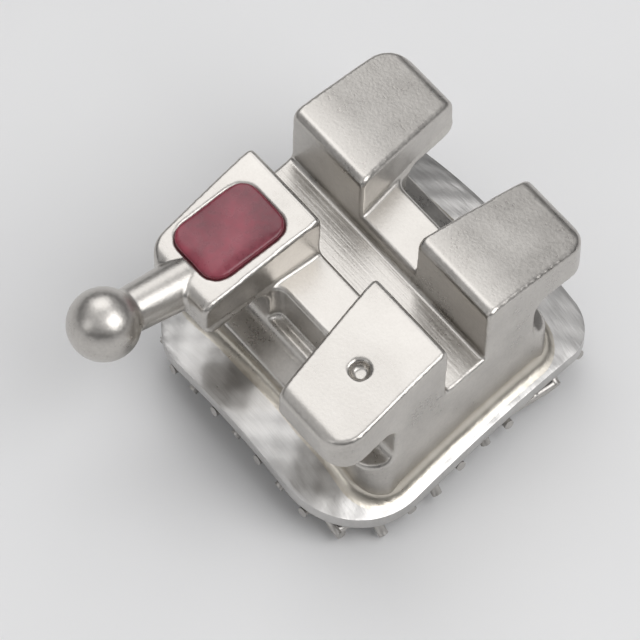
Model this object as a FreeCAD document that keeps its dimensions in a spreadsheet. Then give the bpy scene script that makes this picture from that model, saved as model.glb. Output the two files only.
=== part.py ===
"""Twin orthodontic bracket with a ball hook, on a curved foil pad with a woven mesh base.

Millimetres. The origin is the middle of the archwire slot's floor. +Z points away from the tooth, out of
the slot. +X runs along the slot towards the side that carries the hook, and +Y towards the gum, the way
the hook points. The bracket stands on its mesh base.
"""
import FreeCAD, Part
import math
import os
import Sketcher

# Driving sizes, in millimetres and degrees
SIZES = (
    # Archwire slot, cut for wire of 0.022 by 0.028 inch
    ("slot_width", 0.5588),
    ("slot_depth", 0.7112),
    ("slot_chamfer", 0.05),
    ("slot_torque", 2.0),
    # Tie wings and labial face
    ("wing_span", 3.10),
    ("wing_reach", 1.75),
    ("crown_rise", 0.08),
    ("crown_radius", 5.0),
    ("tip_top", 0.50),
    ("tip_bottom", 0.06),
    ("tip_radius", 0.17),
    ("wing_corner", 0.3),
    ("skew", 8.0),
    # Waist under the wings, and foot
    ("waist_reach", 0.98),
    ("waist_top", 0.17),
    ("waist_bottom", -0.34),
    ("waist_radius", 0.16),
    ("foot_reach", 1.28),
    ("foot_top", -0.48),
    ("foot_edge", 0.05),
    ("foot_corner", 0.32),
    ("blank_stock", 0.02),
    # Vertical channel between the wing pairs
    ("channel_width", 0.78),
    ("channel_mouth", 1.16),
    ("channel_floor", 0.18),
    ("channel_corner", 0.12),
    ("notch_step", 0.03),
    ("notch_start", 0.84),
    ("notch_floor", -0.28),
    # Ball hook
    ("hook_x", 0.86),
    ("hook_root", 1.36),
    ("hook_height", 0.27),
    ("hook_rise", 8.0),
    ("hook_length", 1.22),
    ("hook_root_radius", 0.27),
    ("hook_neck_radius", 0.22),
    ("ball_radius", 0.37),
    # Paint recess and the small pit on the wing beside it
    ("paint_centre", 1.02),
    ("paint_width", 0.76),
    ("paint_length", 0.98),
    ("paint_corner", 0.2),
    ("paint_recess", 0.05),
    ("paint_proud", 0.02),
    ("pit_radius", 0.1),
    ("pit_depth", 0.09),
    # Foil pad, curved round two axes
    ("seat_height", -0.62),
    ("pad_width", 3.44),
    ("pad_length", 3.60),
    ("pad_thickness", 0.13),
    ("pad_radius_x", 4.6),
    ("pad_radius_y", 12.0),
    ("pad_corner", 0.45),
    ("pad_gum_corner", 0.85),
    # Woven mesh: crimped warp wires along X, straight weft wires along Y
    ("wire_size", 0.10),
    ("wire_bond", 0.02),
    ("mesh_pitch", 0.36),
    ("wires_each_way", 10),
    ("knuckle_length", 0.12),
    # Braze fillet round the foot
    ("braze_leg", 0.12),
    ("braze_height", 0.11),
    ("braze_chamfer", 0.08),
)

# Overruns of the cutting shapes past what they cut, in millimetres, and their turn in degrees
SWEEP = 30.0
CUT_DEPTH = 1.2
CUT_REACH = 2.4
FOOT_OVERRUN = 0.6
CHANNEL_OVERRUN = 0.4
SLOT_OVERRUN = 0.25
ABOVE = 1.2
FRAME = 6.0

# A small turn that holds a rotation's axis until the sheet's own angle is bound to it
FIRST_TURN = 1.0


class Term:
    """A number worked out from the sheet, with the formula that keeps it bound to the sheet."""

    def __init__(self, value, text):
        self.value = value
        self.text = text

    def join(self, other, sign, value):
        return Term(value, "(" + self.text + sign + other.text + ")")

    def __add__(self, other):
        other = term(other)
        return self.join(other, " + ", self.value + other.value)

    def __sub__(self, other):
        other = term(other)
        return self.join(other, " - ", self.value - other.value)

    def __mul__(self, other):
        other = term(other)
        return self.join(other, " * ", self.value * other.value)

    def __truediv__(self, other):
        other = term(other)
        return self.join(other, " / ", self.value / other.value)

    def __neg__(self):
        return Term(-self.value, "(-1 * " + self.text + ")")


def term(number):
    if isinstance(number, Term):
        return number
    return Term(float(number), "(" + repr(float(number)) + ")")


def sine(angle):
    return Term(math.sin(math.radians(angle.value)), "sin(" + angle.text + ")")


def cosine(angle):
    return Term(math.cos(math.radians(angle.value)), "cos(" + angle.text + ")")


def tangent(angle):
    return Term(math.tan(math.radians(angle.value)), "tan(" + angle.text + ")")


def arc_angle(length, radius):
    """Angle in degrees that an arc of this length takes on this radius."""
    return length / radius * (180.0 / math.pi)


def slope_angle(rise, run):
    ratio = rise / run
    return Term(math.degrees(math.atan(ratio.value)), "atan(" + ratio.text + ")")


class Sizes:
    """The sheet's cells, each read back as a term under its own name."""

    def __init__(self, doc):
        sheet = doc.addObject("Spreadsheet::Sheet", "Sizes")
        for row, (name, number) in enumerate(SIZES, start=1):
            sheet.set("A%d" % row, name)
            sheet.set("B%d" % row, str(number))
            sheet.setAlias("B%d" % row, name)
        doc.recompute()
        for name, number in SIZES:
            setattr(self, name, Term(float(sheet.get(name)), "Sizes." + name))


def bind(item, name, amount):
    item.setExpression(name, term(amount).text)


# Sketch helpers

def new_body(doc, label):
    body = doc.addObject("PartDesign::Body", label)
    body.Label = label
    return body


def origin_part(body, role):
    return [item for item in body.Origin.OriginFeatures if item.Role == role][0]


def new_sketch(body, name, role, offset=(0, 0, 0), tilt=None):
    """A sketch on one of the body's own planes, moved by offset and tilted round its own X axis."""
    sketch = body.newObject("Sketcher::SketchObject", name)
    sketch.AttachmentSupport = [(origin_part(body, role), "")]
    sketch.MapMode = "FlatFace"
    if tilt is not None:
        turn = FreeCAD.Rotation(FreeCAD.Vector(1, 0, 0), FIRST_TURN)
        sketch.AttachmentOffset = FreeCAD.Placement(FreeCAD.Vector(), turn)
        bind(sketch, "AttachmentOffset.Rotation.Angle", tilt)
    for axis, amount in zip("xyz", offset):
        bind(sketch, "AttachmentOffset.Base." + axis, amount)
    return sketch


def pin(sketch, geometry, end, along, up):
    """Hold one point of a sketch at its two coordinates."""
    for kind, amount in (("DistanceX", along), ("DistanceY", up)):
        index = sketch.addConstraint(Sketcher.Constraint(kind, -1, 1, geometry, end, amount.value))
        bind(sketch, "Constraints[%d]" % index, amount)


def set_radius(sketch, geometry, radius):
    index = sketch.addConstraint(Sketcher.Constraint("Radius", geometry, radius.value))
    bind(sketch, "Constraints[%d]" % index, radius)


def rounded_loop(sketch, corners):
    """A closed loop of straight sides through the corners, each given as (along, up, radius or None)."""
    spots = [FreeCAD.Vector(term(a).value, term(u).value, 0) for a, u, radius in corners]
    count = len(corners)
    starts = []
    ends = []
    turns = []
    for i, (along, up, radius) in enumerate(corners):
        before = (spots[i] - spots[i - 1]).normalize()
        after = (spots[(i + 1) % count] - spots[i]).normalize()
        turn = before.getAngle(after)
        left = before.cross(after).z > 0
        trim = 0.0 if radius is None else term(radius).value * math.tan(turn / 2)
        starts.append(spots[i] - before * trim)
        ends.append(spots[i] + after * trim)
        turns.append((before, left))
    lines = []
    for i in range(count):
        segment = Part.LineSegment(ends[i], starts[(i + 1) % count])
        lines.append(sketch.addGeometry(segment, False))
    for i, (along, up, radius) in enumerate(corners):
        into = lines[i - 1]
        out = lines[i]
        if radius is None:
            sketch.addConstraint(Sketcher.Constraint("Coincident", into, 2, out, 1))
            pin(sketch, out, 1, term(along), term(up))
            continue
        before, left = turns[i]
        side = FreeCAD.Vector(-before.y, before.x, 0) * (1 if left else -1)
        size = term(radius).value
        centre = starts[i] + side * size
        first = starts[i] if left else ends[i]
        last = ends[i] if left else starts[i]
        circle = Part.Circle(centre, FreeCAD.Vector(0, 0, 1), size)
        begin = math.atan2(first.y - centre.y, first.x - centre.x)
        finish = math.atan2(last.y - centre.y, last.x - centre.x)
        if finish < begin:
            finish += 2 * math.pi
        arc = sketch.addGeometry(Part.ArcOfCircle(circle, begin, finish), False)
        corner = sketch.addGeometry(Part.Point(spots[i]), True)
        pin(sketch, corner, 1, term(along), term(up))
        sketch.addConstraint(Sketcher.Constraint("PointOnObject", corner, 1, into))
        sketch.addConstraint(Sketcher.Constraint("PointOnObject", corner, 1, out))
        sketch.addConstraint(Sketcher.Constraint("Tangent", into, 2, arc, 1 if left else 2))
        sketch.addConstraint(Sketcher.Constraint("Tangent", arc, 2 if left else 1, out, 1))
        set_radius(sketch, arc, term(radius))


def circle_loop(sketch, along, up, radius):
    spot = FreeCAD.Vector(along.value, up.value, 0)
    geometry = sketch.addGeometry(Part.Circle(spot, FreeCAD.Vector(0, 0, 1), radius.value), False)
    pin(sketch, geometry, 3, along, up)
    set_radius(sketch, geometry, radius)


def arc_band(sketch, outer, inner, reach):
    """A band between two arcs round the sketch's origin, cut off square at plus and minus reach."""
    arcs = []
    for radius in (outer, inner):
        lean = math.asin(reach.value / radius.value)
        circle = Part.Circle(FreeCAD.Vector(), FreeCAD.Vector(0, 0, 1), radius.value)
        arc = sketch.addGeometry(Part.ArcOfCircle(circle, math.pi / 2 - lean, math.pi / 2 + lean), False)
        sketch.addConstraint(Sketcher.Constraint("Coincident", arc, 3, -1, 1))
        set_radius(sketch, arc, radius)
        arcs.append(arc)
    for end, edge in ((1, reach), (2, -reach)):
        tops = [sketch.getPoint(arc, end) for arc in arcs]
        side = sketch.addGeometry(Part.LineSegment(tops[0], tops[1]), False)
        sketch.addConstraint(Sketcher.Constraint("Coincident", arcs[0], end, side, 1))
        sketch.addConstraint(Sketcher.Constraint("Coincident", arcs[1], end, side, 2))
        for point in (1, 2):
            index = sketch.addConstraint(Sketcher.Constraint("DistanceX", -1, 1, side, point, edge.value))
            bind(sketch, "Constraints[%d]" % index, edge)


def frame_loop(sketch):
    """The far border of a sketch whose inner loop is what a trimming cut leaves standing."""
    rounded_loop(sketch, [(FRAME * a, FRAME * b, None) for a, b in ((-1, -1), (1, -1), (1, 1), (-1, 1))])


def feature(body, kind, name, profile):
    item = body.newObject("PartDesign::" + kind, name)
    item.Profile = profile
    body.Tip = item
    return item


def trim_outside(body, name, sketch):
    """Cut away all that lies outside the sketch's inner loop, the whole way up and down."""
    cut = feature(body, "Pocket", name, sketch)
    cut.Type = "ThroughAll"
    cut.SideType = "Symmetric"
    return cut


def spin(body, kind, name, profile, angle):
    """Turn a tooth-curve sketch round its axis line, evenly to both sides."""
    item = feature(body, kind, name, profile)
    item.ReferenceAxis = (profile, ["Axis0"])
    item.Midplane = True
    bind(item, "Angle", angle)
    return item


# Shared forms

def sheared(d, along, up):
    """A point in plan, moved along the slot by the skew of the bracket."""
    return along - up * tangent(d.skew)


def plan_loop(d, half_x, half_y, gum_corner, biting_corner):
    """Corners of a rhomboid in plan, with its own radii at the gum side and at the biting side."""
    spots = ((-half_x, -half_y, biting_corner), (half_x, -half_y, biting_corner),
             (half_x, half_y, gum_corner), (-half_x, half_y, gum_corner))
    return [(sheared(d, along, up), up, radius) for along, up, radius in spots]


def tooth_curve_sketch(d, body, name, turn=0.0):
    """An end view centred on the tooth's crosswise curve, with the axis of its lengthwise curve as Axis0.

    turn swings the whole view round that axis, so that one wire after another can be drawn in it.
    """
    turn = term(turn)
    arm = d.pad_radius_y - d.pad_radius_x
    height = d.seat_height - d.pad_radius_y + arm * cosine(turn)
    sketch = new_sketch(body, name, "XZ_Plane", (0, height, arm * sine(turn)), turn)
    start = FreeCAD.Vector(0, -arm.value, 0)
    axis = sketch.addGeometry(Part.LineSegment(start, start + FreeCAD.Vector(1, 0, 0)), True)
    pin(sketch, axis, 1, term(0), -arm)
    pin(sketch, axis, 2, term(1), -arm)
    return sketch


def labial_slope(d):
    """Fall of the wing's top face from the crown to its tip, in degrees."""
    return slope_angle(d.slot_depth + d.crown_rise - d.tip_top, d.wing_reach + d.blank_stock)


def wing_face_sketch(d, body, name):
    """A sketch that lies in the top face of the gum-side wings, its origin level with the paint's middle."""
    slope = labial_slope(d)
    height = d.slot_depth + d.crown_rise - d.paint_centre * tangent(slope)
    return new_sketch(body, name, "XY_Plane", (0, d.paint_centre, height), -slope)


def wing_middle(d, side, up):
    """Middle of a wing in plan, between its outer side and the flaring channel."""
    flare = (d.channel_mouth - d.channel_width) / 2 * up / d.wing_reach
    inner = d.channel_width / 2 + flare
    return sheared(d, (d.wing_span / 2 + inner) / 2 * side, up)


def paint_loop(d, sketch):
    middle = wing_middle(d, 1, d.paint_centre)
    half_x = d.paint_width / 2
    half_y = d.paint_length / 2
    rounded_loop(sketch, [(middle + half_x * a, half_y * b, d.paint_corner)
                          for a, b in ((-1, -1), (1, -1), (1, 1), (-1, 1))])


# Sub-parts

def make_bracket_body(doc, d):
    """Wings, slot, channel, waist, foot and ball hook: one moulded piece."""
    body = new_body(doc, "bracket_body")

    section = new_sketch(body, "body_section", "YZ_Plane")
    stock_reach = d.wing_reach + d.blank_stock
    foot_stock = d.foot_reach + d.blank_stock
    half = [
        (stock_reach, d.tip_top, d.tip_radius),
        (stock_reach, d.tip_bottom, d.tip_radius),
        (d.waist_reach, d.waist_top, d.waist_radius),
        (d.waist_reach, d.waist_bottom, d.waist_radius),
        (foot_stock, d.foot_top, d.foot_edge),
        (foot_stock, d.seat_height - FOOT_OVERRUN, None),
    ]
    crown = (term(0), d.slot_depth + d.crown_rise, d.crown_radius)
    mirrored = [(-along, up, radius) for along, up, radius in reversed(half)]
    rounded_loop(section, [crown] + half + mirrored)
    blank = feature(body, "Pad", "blank", section)
    blank.SideType = "Symmetric"
    bind(blank, "Length", d.wing_span * 2)

    outline = new_sketch(body, "wing_outline", "XY_Plane")
    frame_loop(outline)
    rounded_loop(outline, plan_loop(d, d.wing_span / 2, d.wing_reach, d.wing_corner, d.wing_corner))
    trim_outside(body, "wing_trim", outline)

    foot = new_sketch(body, "foot_outline", "XY_Plane", (0, 0, (d.waist_top + d.waist_bottom) / 2))
    frame_loop(foot)
    foot_half = d.wing_span / 2 + d.blank_stock
    rounded_loop(foot, plan_loop(d, foot_half, d.foot_reach, d.foot_corner, d.foot_corner))
    foot_trim = feature(body, "Pocket", "foot_trim", foot)
    foot_trim.Type = "ThroughAll"

    slot = new_sketch(body, "slot_section", "YZ_Plane")
    turn = FreeCAD.Rotation(FreeCAD.Vector(0, 0, 1), FIRST_TURN)
    slot.AttachmentOffset = FreeCAD.Placement(FreeCAD.Vector(), turn)
    bind(slot, "AttachmentOffset.Rotation.Angle", d.slot_torque)
    wall = d.slot_width / 2
    lip = d.slot_depth - d.slot_chamfer
    out = d.slot_chamfer + SLOT_OVERRUN
    rounded_loop(slot, [(-wall, term(0), None), (wall, term(0), None), (wall, lip, None),
                        (wall + out, lip + out, None), (-wall - out, lip + out, None),
                        (-wall, lip, None)])
    slot_cut = feature(body, "Pocket", "slot", slot)
    slot_cut.Type = "ThroughAll"
    slot_cut.SideType = "Symmetric"

    channel = new_sketch(body, "channel_outline", "XY_Plane", (0, 0, d.slot_depth + ABOVE))
    far = d.wing_reach + CHANNEL_OVERRUN
    narrow = d.channel_width / 2
    flare = (d.channel_mouth - d.channel_width) / 2 / d.wing_reach
    wide = narrow + flare * far
    spots = ((wide, -far), (narrow, term(0)), (wide, far), (-wide, far), (-narrow, term(0)), (-wide, -far))
    rounded_loop(channel, [(sheared(d, along, up), up, None) for along, up in spots])
    channel_cut = feature(body, "Pocket", "channel", channel)
    bind(channel_cut, "Length", d.slot_depth + ABOVE - d.channel_floor)

    near = narrow + flare * d.notch_start - d.notch_step
    end = wide - d.notch_step
    for side, name in ((1, "gum_notch"), (-1, "biting_notch")):
        notch = new_sketch(body, name + "_outline", "XY_Plane", (0, 0, d.slot_depth + ABOVE))
        start = d.notch_start * side
        spots = ((near, start, d.channel_corner), (end, far * side, None), (-end, far * side, None),
                 (-near, start, d.channel_corner))
        rounded_loop(notch, [(sheared(d, along, up), up, radius) for along, up, radius in spots])
        notch_cut = feature(body, "Pocket", name, notch)
        bind(notch_cut, "Length", d.slot_depth + ABOVE - d.notch_floor)

    neck = body.newObject("PartDesign::AdditiveCone", "hook_neck")
    body.Tip = neck
    bind(neck, "Radius1", d.hook_root_radius)
    bind(neck, "Radius2", d.hook_neck_radius)
    bind(neck, "Height", d.hook_length)
    ball = body.newObject("PartDesign::AdditiveSphere", "hook_ball")
    body.Tip = ball
    bind(ball, "Radius", d.ball_radius)
    turn = FreeCAD.Rotation(FreeCAD.Vector(-1, 0, 0), FIRST_TURN)
    for item, reach in ((neck, term(0)), (ball, d.hook_length)):
        item.Placement = FreeCAD.Placement(FreeCAD.Vector(), turn)
        bind(item, "Placement.Rotation.Angle", term(90) - d.hook_rise)
        bind(item, "Placement.Base.x", d.hook_x)
        bind(item, "Placement.Base.y", d.hook_root + reach * cosine(d.hook_rise))
        bind(item, "Placement.Base.z", d.hook_height + reach * sine(d.hook_rise))

    recess = wing_face_sketch(d, body, "paint_recess_outline")
    paint_loop(d, recess)
    recess_cut = feature(body, "Pocket", "paint_recess", recess)
    recess_cut.SideType = "Two sides"
    bind(recess_cut, "Length", d.paint_recess)
    bind(recess_cut, "Length2", d.paint_recess)

    pit = wing_face_sketch(d, body, "pit_outline")
    circle_loop(pit, wing_middle(d, -1, d.paint_centre), term(0), d.pit_radius)
    pit_cut = feature(body, "Pocket", "pit", pit)
    bind(pit_cut, "Length", d.pit_depth)

    under = tooth_curve_sketch(d, body, "seat_section")
    arc_band(under, d.pad_radius_x, d.pad_radius_x - CUT_DEPTH, term(CUT_REACH))
    spin(body, "Groove", "seat", under, SWEEP)
    return body


def make_base_pad(doc, d):
    """Foil bent round both of the tooth's curves and cut to a rhomboid with rounder gum-side corners."""
    body = new_body(doc, "base_pad")
    band = tooth_curve_sketch(d, body, "pad_section")
    arc_band(band, d.pad_radius_x, d.pad_radius_x - d.pad_thickness, term(CUT_REACH))
    spin(body, "Revolution", "foil", band, SWEEP)
    outline = new_sketch(body, "pad_outline", "XY_Plane")
    frame_loop(outline)
    rounded_loop(outline, plan_loop(d, d.pad_width / 2, d.pad_length / 2, d.pad_gum_corner, d.pad_corner))
    trim_outside(body, "pad_trim", outline)
    return body


def warp_loop(d, sketch, count, phase):
    """End view of one crimped wire: over one weft wire, under the next, along the pad's curve."""
    foil_face = d.pad_radius_x - d.pad_thickness
    lift = (d.wire_size - d.wire_bond) * 2
    upper = []
    lower = []
    for i in range(count):
        depth = lift if (i + phase) % 2 else term(0)
        middle = d.mesh_pitch * (i - (count - 1) / 2)
        before = d.mesh_pitch if i == 0 else d.knuckle_length / 2
        after = d.mesh_pitch if i == count - 1 else d.knuckle_length / 2
        for along in (middle - before, middle + after):
            angle = arc_angle(along, foil_face)
            for side, extra in ((upper, term(0)), (lower, d.wire_size)):
                radius = foil_face - depth - extra
                side.append((radius * sine(angle), radius * cosine(angle), None))
    rounded_loop(sketch, upper + lower[::-1])


def make_bonding_mesh(doc, d):
    """Plain weave on the underside of the foil: crimped warp along X, straight weft along Y."""
    body = new_body(doc, "bonding_mesh")
    body.AllowCompound = True
    count = int(d.wires_each_way.value)
    foil_face = d.pad_radius_x - d.pad_thickness

    weft = tooth_curve_sketch(d, body, "weft_section")
    outer = foil_face - d.wire_size + d.wire_bond
    inner = outer - d.wire_size
    for i in range(count):
        middle = d.mesh_pitch * (i - (count - 1) / 2)
        left = arc_angle(middle - d.wire_size / 2, foil_face)
        right = arc_angle(middle + d.wire_size / 2, foil_face)
        rounded_loop(weft, [(radius * sine(angle), radius * cosine(angle), None) for radius, angle in
                            ((inner, left), (inner, right), (outer, right), (outer, left))])
    rows = spin(body, "Revolution", "weft", weft, SWEEP)
    rows.AllowMultiFace = True

    lengthwise = d.pad_radius_y - d.pad_thickness
    step = arc_angle(d.mesh_pitch, lengthwise)
    for phase in (0, 1):
        name = "warp_%d" % phase
        side = tooth_curve_sketch(d, body, name + "_side", step * (phase - (count - 1) / 2))
        warp_loop(d, side, count, phase)
        wire = spin(body, "Revolution", name, side, arc_angle(d.wire_size, lengthwise))
        columns = body.newObject("PartDesign::PolarPattern", name + "_columns")
        columns.Originals = [wire]
        columns.Axis = (side, ["Axis0"])
        columns.Mode = "Spacing"
        bind(columns, "Offset", step * 2)
        columns.Occurrences = (count + 1 - phase) // 2
        body.Tip = columns

    outline = new_sketch(body, "mesh_outline", "XY_Plane")
    frame_loop(outline)
    rounded_loop(outline, plan_loop(d, d.pad_width / 2, d.pad_length / 2, d.pad_gum_corner, d.pad_corner))
    trim_outside(body, "mesh_trim", outline)
    return body


def rim_edges(shape, spot):
    """Names of the edges round the face that passes through a spot."""
    near = Part.Vertex(spot)
    face = min(shape.Faces, key=lambda item: item.distToShape(near)[0])
    rim = [edge.hashCode() for edge in face.Edges]
    return ["Edge%d" % i for i, edge in enumerate(shape.Edges, start=1) if edge.hashCode() in rim]


def make_braze_seam(doc, d, bracket):
    """Bevelled ridge of filler on the pad, round the foot of the bracket."""
    body = new_body(doc, "braze_blank")
    band = tooth_curve_sketch(d, body, "braze_section")
    arc_band(band, d.pad_radius_x + d.braze_height, d.pad_radius_x, term(CUT_REACH))
    spin(body, "Revolution", "braze_band", band, SWEEP)
    outline = new_sketch(body, "braze_outline", "XY_Plane")
    frame_loop(outline)
    corner = d.foot_corner + d.braze_leg
    loop = plan_loop(d, d.wing_span / 2 + d.braze_leg, d.foot_reach + d.braze_leg, corner, corner)
    rounded_loop(outline, loop)
    trim = trim_outside(body, "braze_trim", outline)
    doc.recompute()
    top = FreeCAD.Vector(0, 0, d.seat_height.value + d.braze_height.value)
    bevel = body.newObject("PartDesign::Chamfer", "braze_bevel")
    bevel.Base = (trim, rim_edges(trim.Shape, top))
    bind(bevel, "Size", d.braze_chamfer)
    body.Tip = bevel
    seam = doc.addObject("Part::Cut", "braze_seam")
    seam.Base = body
    seam.Tool = bracket
    return seam


def make_identification_paint(doc, d):
    """Dab of paint that fills the recess in the hook wing and stands a little proud."""
    body = new_body(doc, "identification_paint")
    outline = wing_face_sketch(d, body, "paint_outline")
    paint_loop(d, outline)
    dab = feature(body, "Pad", "dab", outline)
    dab.SideType = "Two sides"
    bind(dab, "Length", d.paint_proud)
    bind(dab, "Length2", d.paint_recess)
    return body


def check(doc, parts):
    """Stop on any failed object and on any sub-part that is empty or not a valid solid."""
    for item in doc.Objects:
        if "Invalid" in item.State or "Error" in item.State:
            raise RuntimeError(item.Label + " failed: " + ", ".join(item.State))
    for part in parts:
        if part.Shape.isNull() or not part.Shape.isValid() or part.Shape.Volume <= 0:
            raise RuntimeError(part.Label + " is not a valid solid")


def main():
    doc = FreeCAD.newDocument("orthodontic_bracket")
    d = Sizes(doc)
    bracket = make_bracket_body(doc, d)
    parts = [bracket, make_base_pad(doc, d), make_bonding_mesh(doc, d), make_braze_seam(doc, d, bracket),
             make_identification_paint(doc, d)]
    doc.recompute()
    check(doc, parts)
    os.makedirs("parts", exist_ok=True)
    for part in parts:
        part.Shape.exportStep("parts/" + part.Label + ".step")
        box = part.Shape.BoundBox
        print(part.Label, len(part.Shape.Solids), "solids", round(part.Shape.Volume, 4), "mm3", box)


main()
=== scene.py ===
"""Looks of a twin orthodontic bracket: moulded steel body, foil pad, woven mesh base, braze and paint.

Each piece is modelled in millimetres and brought to metres, in the frame's own place, when it is finished.
"""
import logging
import math
from dataclasses import dataclass, field
from enum import Enum
from typing import Optional, Sequence, Union

import bpy
from mathutils import Matrix, Vector, noise
from mathutils.bvhtree import BVHTree

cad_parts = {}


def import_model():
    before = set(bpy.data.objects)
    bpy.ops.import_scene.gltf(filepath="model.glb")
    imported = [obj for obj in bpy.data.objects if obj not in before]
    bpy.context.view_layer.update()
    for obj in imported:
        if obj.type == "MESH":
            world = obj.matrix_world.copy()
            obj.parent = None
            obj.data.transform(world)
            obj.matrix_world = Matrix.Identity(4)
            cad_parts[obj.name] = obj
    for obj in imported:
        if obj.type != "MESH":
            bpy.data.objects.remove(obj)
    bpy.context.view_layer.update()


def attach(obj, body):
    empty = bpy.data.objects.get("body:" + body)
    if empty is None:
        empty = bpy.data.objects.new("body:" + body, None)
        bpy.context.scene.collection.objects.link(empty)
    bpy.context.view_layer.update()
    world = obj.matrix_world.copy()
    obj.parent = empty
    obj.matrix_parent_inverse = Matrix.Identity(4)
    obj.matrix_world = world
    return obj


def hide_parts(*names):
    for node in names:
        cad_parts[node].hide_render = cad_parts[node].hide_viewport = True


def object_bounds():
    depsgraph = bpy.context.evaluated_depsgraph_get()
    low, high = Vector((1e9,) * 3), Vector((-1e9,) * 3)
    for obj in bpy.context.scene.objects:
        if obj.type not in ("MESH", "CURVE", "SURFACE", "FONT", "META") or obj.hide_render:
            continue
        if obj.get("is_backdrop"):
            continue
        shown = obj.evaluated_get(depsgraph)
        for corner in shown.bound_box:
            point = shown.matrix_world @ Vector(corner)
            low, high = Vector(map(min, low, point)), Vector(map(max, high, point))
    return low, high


LOG = logging.getLogger("bracket")
MM = 0.001
SMOOTHING = 0.5     # share of the way that one smoothing pass moves a point
STRAIGHT = 1e-4     # turns smaller than this, in radians, count as none

Corner = tuple[float, float, float]
Colour = tuple[float, float, float]


class Operation(Enum):
    """How one solid changes another."""

    CUT = "DIFFERENCE"
    KEEP = "INTERSECT"
    ADD = "UNION"


class Family(Enum):
    """The two families of wires in the weave."""

    WARP = "warp"
    WEFT = "weft"


class Mark(Enum):
    """What a step of the making leaves on a steel surface."""

    NONE = "nothing"
    CUTTER_LINES = "cutter lines in the slot"
    WEAVE_PRINT = "print of the weave through the foil"


@dataclass(frozen=True)
class ToothCurve:
    """The two curves of a tooth's face that the pad follows, in millimetres."""

    seat_height: float = -0.62
    radius_across: float = 4.6
    radius_along: float = 12.0

    def height(self, across: float, along: float, above: float = 0.0) -> float:
        """Height of the pad's outer face, or of a face parallel to it, over a place in plan.

        Args:
            across: Place along X.
            along: Place along Y.
            above: Distance outwards from the pad's outer face; negative is towards the tooth.

        Returns:
            The height in millimetres.
        """
        crosswise = math.sqrt((self.radius_across + above) ** 2 - across ** 2) - self.radius_across
        radius = self.radius_along + crosswise
        return self.seat_height - self.radius_along + math.sqrt(radius ** 2 - along ** 2)

    def point(self, turn_across: float, turn_along: float, above: float) -> Vector:
        """A point given by its two angles on the curved face.

        Args:
            turn_across: Angle round the crosswise curve's centre, in radians.
            turn_along: Angle round the lengthwise curve's axis, in radians.
            above: Distance outwards from the pad's outer face.

        Returns:
            The point in millimetres.
        """
        reach = self.radius_across + above
        across = reach * math.sin(turn_across)
        radius = self.radius_along - self.radius_across + reach * math.cos(turn_across)
        height = self.seat_height - self.radius_along + radius * math.cos(turn_along)
        return Vector((across, radius * math.sin(turn_along), height))


@dataclass(frozen=True)
class Plan:
    """The bracket's skewed plan: its sides lean, its ends stay along the slot."""

    skew: float = math.radians(8.0)

    def lean(self, along: float) -> float:
        """Sideways shift of a place that lies this far towards the gum."""
        return -along * math.tan(self.skew)

    def rhomboid(self, half_x: float, half_y: float, gum: float, biting: float) -> list[Vector]:
        """Rounded rhomboid in plan.

        Args:
            half_x: Half width along the slot.
            half_y: Half length across the slot.
            gum: Corner radius on the gum side.
            biting: Corner radius on the biting side.

        Returns:
            The loop's points at height zero, counter-clockwise.
        """
        spots = ((-half_x, -half_y, biting), (half_x, -half_y, biting),
                 (half_x, half_y, gum), (-half_x, half_y, gum))
        return rounded([(x + self.lean(y), y, radius) for x, y, radius in spots])


def rounded(corners: Sequence[Corner], turn_step: float = math.radians(7.5), step: float = 0.04) -> list[Vector]:
    """Points of a closed loop of straight sides with round corners.

    Args:
        corners: Place along, place up and radius of each corner.
        turn_step: Largest turn between two points of an arc, in radians.
        step: Largest distance between two points of an arc, in millimetres.

    Returns:
        The loop's points in the plane of the first two axes.
    """
    spots = [Vector((a, b)) for a, b, _ in corners]
    points = []
    for i, (_, _, radius) in enumerate(corners):
        here = spots[i]
        before = (here - spots[i - 1]).normalized()
        after = (spots[(i + 1) % len(spots)] - here).normalized()
        turn = math.atan2(before.x * after.y - before.y * after.x, before.dot(after))
        if radius <= 0 or abs(turn) < STRAIGHT:
            points.append(here.to_3d())
            continue
        start = here - before * radius * math.tan(abs(turn) / 2)
        side = Vector((-before.y, before.x)) * math.copysign(1.0, turn)
        centre = start + side * radius
        steps = max(2, math.ceil(abs(turn) / turn_step), math.ceil(abs(turn) * radius / step))
        for k in range(steps + 1):
            arm = (start - centre).to_3d()
            arm.rotate(Matrix.Rotation(turn * k / steps, 3, "Z"))
            points.append(centre.to_3d() + arm)
    return points


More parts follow.
